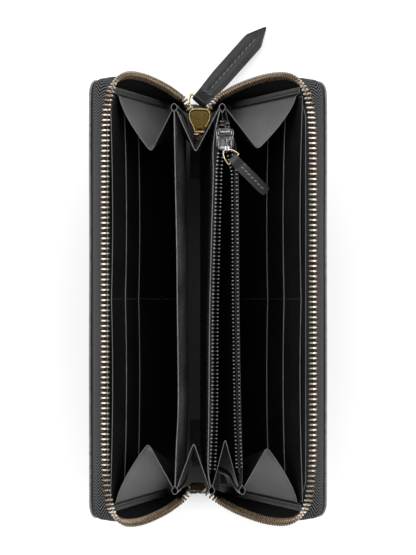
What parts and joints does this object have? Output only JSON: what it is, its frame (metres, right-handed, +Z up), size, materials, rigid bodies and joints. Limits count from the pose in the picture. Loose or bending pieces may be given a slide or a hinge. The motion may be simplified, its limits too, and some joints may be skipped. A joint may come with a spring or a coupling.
{
  "type": "zip-around long wallet",
  "caption": "Long zip-around wallet in black leather, standing open on its spine, with card tiers, a divider, a zipped coin pocket and folded end gussets.",
  "frame": {"origin": "middle of the spine's underside, on the surface that the open wallet stands on", "axes": "+X across the spine towards the wider cover, +Y along the spine towards the main slider, +Z up towards the mouth"},
  "size_m": [0.1049, 0.2363, 0.1053],
  "materials": {
    "outer_leather": "smooth black leather with a fine grain and painted edges",
    "inner_leather": "satin black leather",
    "gusset_leather": "satin charcoal leather",
    "pull_leather": "grained black leather, stitched along the middle",
    "lining": "woven black lining",
    "board": "fibre board, hidden",
    "zip_tape": "herringbone woven tape, dark grey",
    "antique_brass": "antique brass, worn bright on the edges",
    "pale_gold": "polished pale gold",
    "black_metal": "gloss black with bright worn edges"
  },
  "bodies": {
    "root": {"spine_leather": "outer_leather", "spine_board": "board", "spine_lining": "lining", "slider_body": "antique_brass", "zip_tail_front": "zip_tape", "zip_tail_back": "zip_tape", "zip_stop": "antique_brass"},
    "cover_left": {"cover_leather_left": "outer_leather", "cover_board_left": "board", "cover_lining_left": "lining", "card_backing_left": "inner_leather", "card_pocket_left_1": "inner_leather", "card_pocket_left_2": "inner_leather", "card_pocket_left_3": "inner_leather", "zip_tape_left": "zip_tape", "zip_teeth_left": "antique_brass"},
    "cover_right": {"cover_leather_right": "outer_leather", "cover_board_right": "board", "cover_lining_right": "lining", "card_backing_right": "inner_leather", "card_pocket_right_1": "inner_leather", "card_pocket_right_2": "inner_leather", "card_pocket_right_3": "inner_leather", "zip_tape_right": "zip_tape", "zip_teeth_right": "antique_brass"},
    "divider": {"divider": "inner_leather", "gusset_1_front": "gusset_leather", "gusset_1_back": "gusset_leather", "gusset_2_front": "gusset_leather", "gusset_2_back": "gusset_leather"},
    "coin_wall_left": {"coin_wall_left": "inner_leather", "coin_tape_left": "zip_tape", "coin_teeth_left": "black_metal"},
    "coin_wall_right": {"coin_wall_right": "inner_leather", "coin_tape_right": "zip_tape", "coin_teeth_right": "black_metal", "gusset_3_front": "gusset_leather", "gusset_3_back": "gusset_leather", "gusset_4_front": "gusset_leather", "gusset_4_back": "gusset_leather"},
    "coin_zip": {"coin_zip_end": "black_metal"},
    "coin_slider": {"coin_slider": "black_metal"},
    "coin_ring": {"coin_ring": "pale_gold"},
    "coin_tab": {"coin_tab": "pull_leather"},
    "main_ring": {"main_ring": "pale_gold"},
    "main_pull": {"main_pull": "pull_leather"}
  },
  "joints": [
    {"name": "cover_left_fold", "type": "hinge", "parent": "root", "child": "cover_left", "pos_m": [-0.01, 0, 0.0022], "axis": [0, -1, 0], "range_deg": [-20.5, 0], "deforming": ["gusset_1_front", "gusset_1_back", "gusset_2_front", "gusset_2_back"]},
    {"name": "cover_right_fold", "type": "hinge", "parent": "root", "child": "cover_right", "pos_m": [0.01, 0, 0.0022], "axis": [0, 1, 0], "range_deg": [-26.9, 0], "deforming": ["gusset_3_front", "gusset_3_back", "gusset_4_front", "gusset_4_back", "coin_tab"]},
    {"name": "divider_fold", "type": "hinge", "parent": "root", "child": "divider", "pos_m": [-0.007, 0, 0.0032], "axis": [0, -1, 0], "range_deg": [-2.61, 0]},
    {"name": "coin_left_fold", "type": "hinge", "parent": "root", "child": "coin_wall_left", "pos_m": [0.0015, 0, 0.0032], "axis": [0, 1, 0], "range_deg": [-7.11, 0]},
    {"name": "coin_right_fold", "type": "hinge", "parent": "root", "child": "coin_wall_right", "pos_m": [0.005, 0, 0.0032], "axis": [0, 1, 0], "range_deg": [-10.01, 0]},
    {"name": "coin_zip_fold", "type": "hinge", "parent": "root", "child": "coin_zip", "pos_m": [0.00325, 0, 0.0032], "axis": [0, 1, 0], "range_deg": [-8.61, 0]},
    {"name": "coin_slide", "type": "slide", "parent": "coin_zip", "child": "coin_slider", "axis": [0, 1, 0], "range_m": [-0.146, 0], "deforming": ["coin_tape_left", "coin_tape_right", "coin_teeth_left", "coin_teeth_right"]},
    {"name": "coin_ring_turn", "type": "hinge", "parent": "coin_slider", "child": "coin_ring", "pos_m": [0.01343, 0.0662, 0.0838], "axis": [0, 0, 1], "range_deg": [-25.01, 0]},
    {"name": "coin_tab_lift", "type": "hinge", "parent": "coin_ring", "child": "coin_tab", "pos_m": [0.01653, 0.0622, 0.0838], "axis": [-0.6794, -0.7337, 0], "range_deg": [0, 130]},
    {"name": "main_ring_lift", "type": "hinge", "parent": "root", "child": "main_ring", "pos_m": [0.0009, 0.0916, 0.0119], "axis": [1, 0, 0], "range_deg": [0, 20]},
    {"name": "main_pull_lift", "type": "hinge", "parent": "main_ring", "child": "main_pull", "pos_m": [0.0013, 0.0971, 0.0119], "axis": [0.7581, -0.6521, 0], "range_deg": [0, 85]}
  ],
  "couplings": [
    {"joint": "divider_fold", "follows": "cover_left_fold", "ratio": 0.12683},
    {"joint": "coin_left_fold", "follows": "cover_right_fold", "ratio": 0.26394},
    {"joint": "coin_right_fold", "follows": "cover_right_fold", "ratio": 0.37175},
    {"joint": "coin_zip_fold", "follows": "cover_right_fold", "ratio": 0.3197},
    {"joint": "coin_ring_turn", "follows": "cover_right_fold", "ratio": 0.92937}
  ]
}
